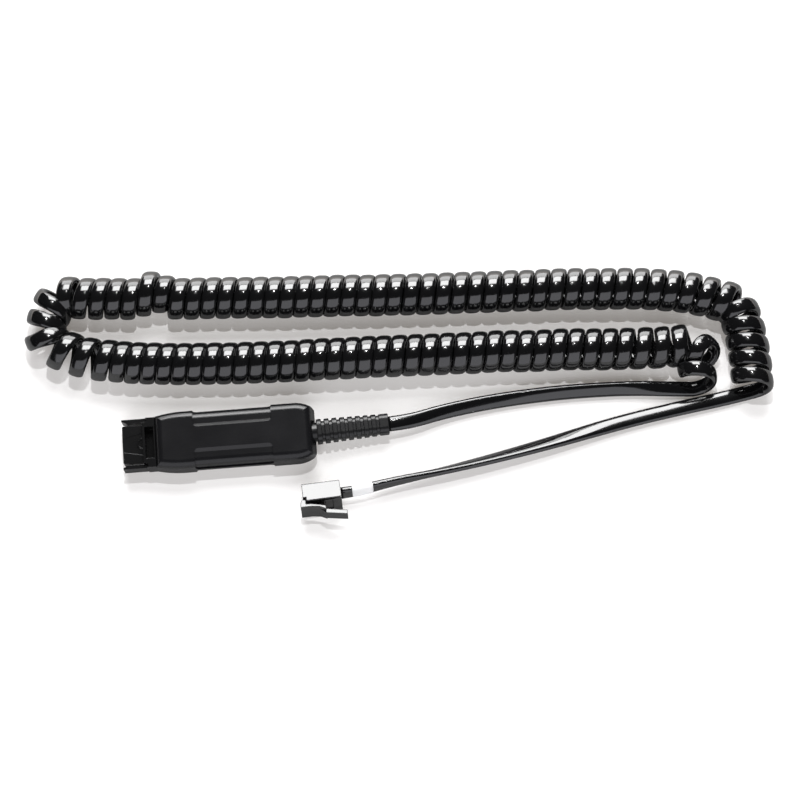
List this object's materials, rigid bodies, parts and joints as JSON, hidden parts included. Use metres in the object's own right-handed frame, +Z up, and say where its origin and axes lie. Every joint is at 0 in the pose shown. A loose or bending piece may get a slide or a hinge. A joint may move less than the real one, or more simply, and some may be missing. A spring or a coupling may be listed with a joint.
{
  "type": "headset adapter coil cord",
  "caption": "Coiled flat adapter cord for an office headset, with a quick-disconnect connector and ribbed strain relief at one end and a modular handset plug at the other.",
  "frame": {"origin": "on the resting surface, under the middle of the connector with its strain relief", "axes": "+X along the connector from its contact tongue to its strain relief, +Z up, out of the surface it rests on"},
  "size_m": [0.2415, 0.0865, 0.0138],
  "materials": {
    "housing": "fine satin texture",
    "carrier": "moulded semi-gloss",
    "contact": "gold-plated strip",
    "strain_relief": "soft satin",
    "cord": "glossy flexible jacket",
    "crimp": "plated",
    "insulation": "thin insulation",
    "label": "plain wrap",
    "plug": "high gloss"
  },
  "bodies": {
    "base": {"upper_shell": "housing", "lower_shell": "housing", "contact_carrier": "carrier", "line_contact_1": "contact", "line_contact_2": "contact", "line_contact_3": "contact", "line_contact_4": "contact", "strain_relief": "strain_relief", "cord_jacket_end": "cord", "cord_crimp": "crimp", "conductor_1": "insulation", "conductor_2": "insulation", "conductor_3": "insulation", "conductor_4": "insulation", "coiled_cord": "cord", "near_lead": "cord", "far_lead": "cord", "lead_label": "label", "plug_body": "plug", "plug_cord_clamp": "plug", "plug_cord_end": "cord", "plug_conductors": "insulation", "plug_contact_1": "contact", "plug_contact_2": "contact", "plug_contact_3": "contact", "plug_contact_4": "contact"},
    "far_arm": {"far_detent_arm": "carrier"},
    "near_arm": {"near_detent_arm": "carrier"},
    "latch": {"plug_latch": "plug"}
  },
  "joints": [
    {"name": "far_arm_flex", "type": "hinge", "parent": "base", "child": "far_arm", "pos_m": [-0.03565, 0.00755, 0.00525], "axis": [0, 0, 1], "range_deg": [0, 4], "stiffness_Nm_per_rad": 0.08},
    {"name": "near_arm_flex", "type": "hinge", "parent": "base", "child": "near_arm", "pos_m": [-0.03565, -0.00755, 0.00525], "axis": [0, 0, -1], "range_deg": [0, 4], "stiffness_Nm_per_rad": 0.08},
    {"name": "latch_press", "type": "hinge", "parent": "base", "child": "latch", "pos_m": [0.01384, -0.02419, 0.00583], "axis": [-0.0196, 0.3741, 0.9272], "range_deg": [0, 12], "stiffness_Nm_per_rad": 0.05}
  ]
}
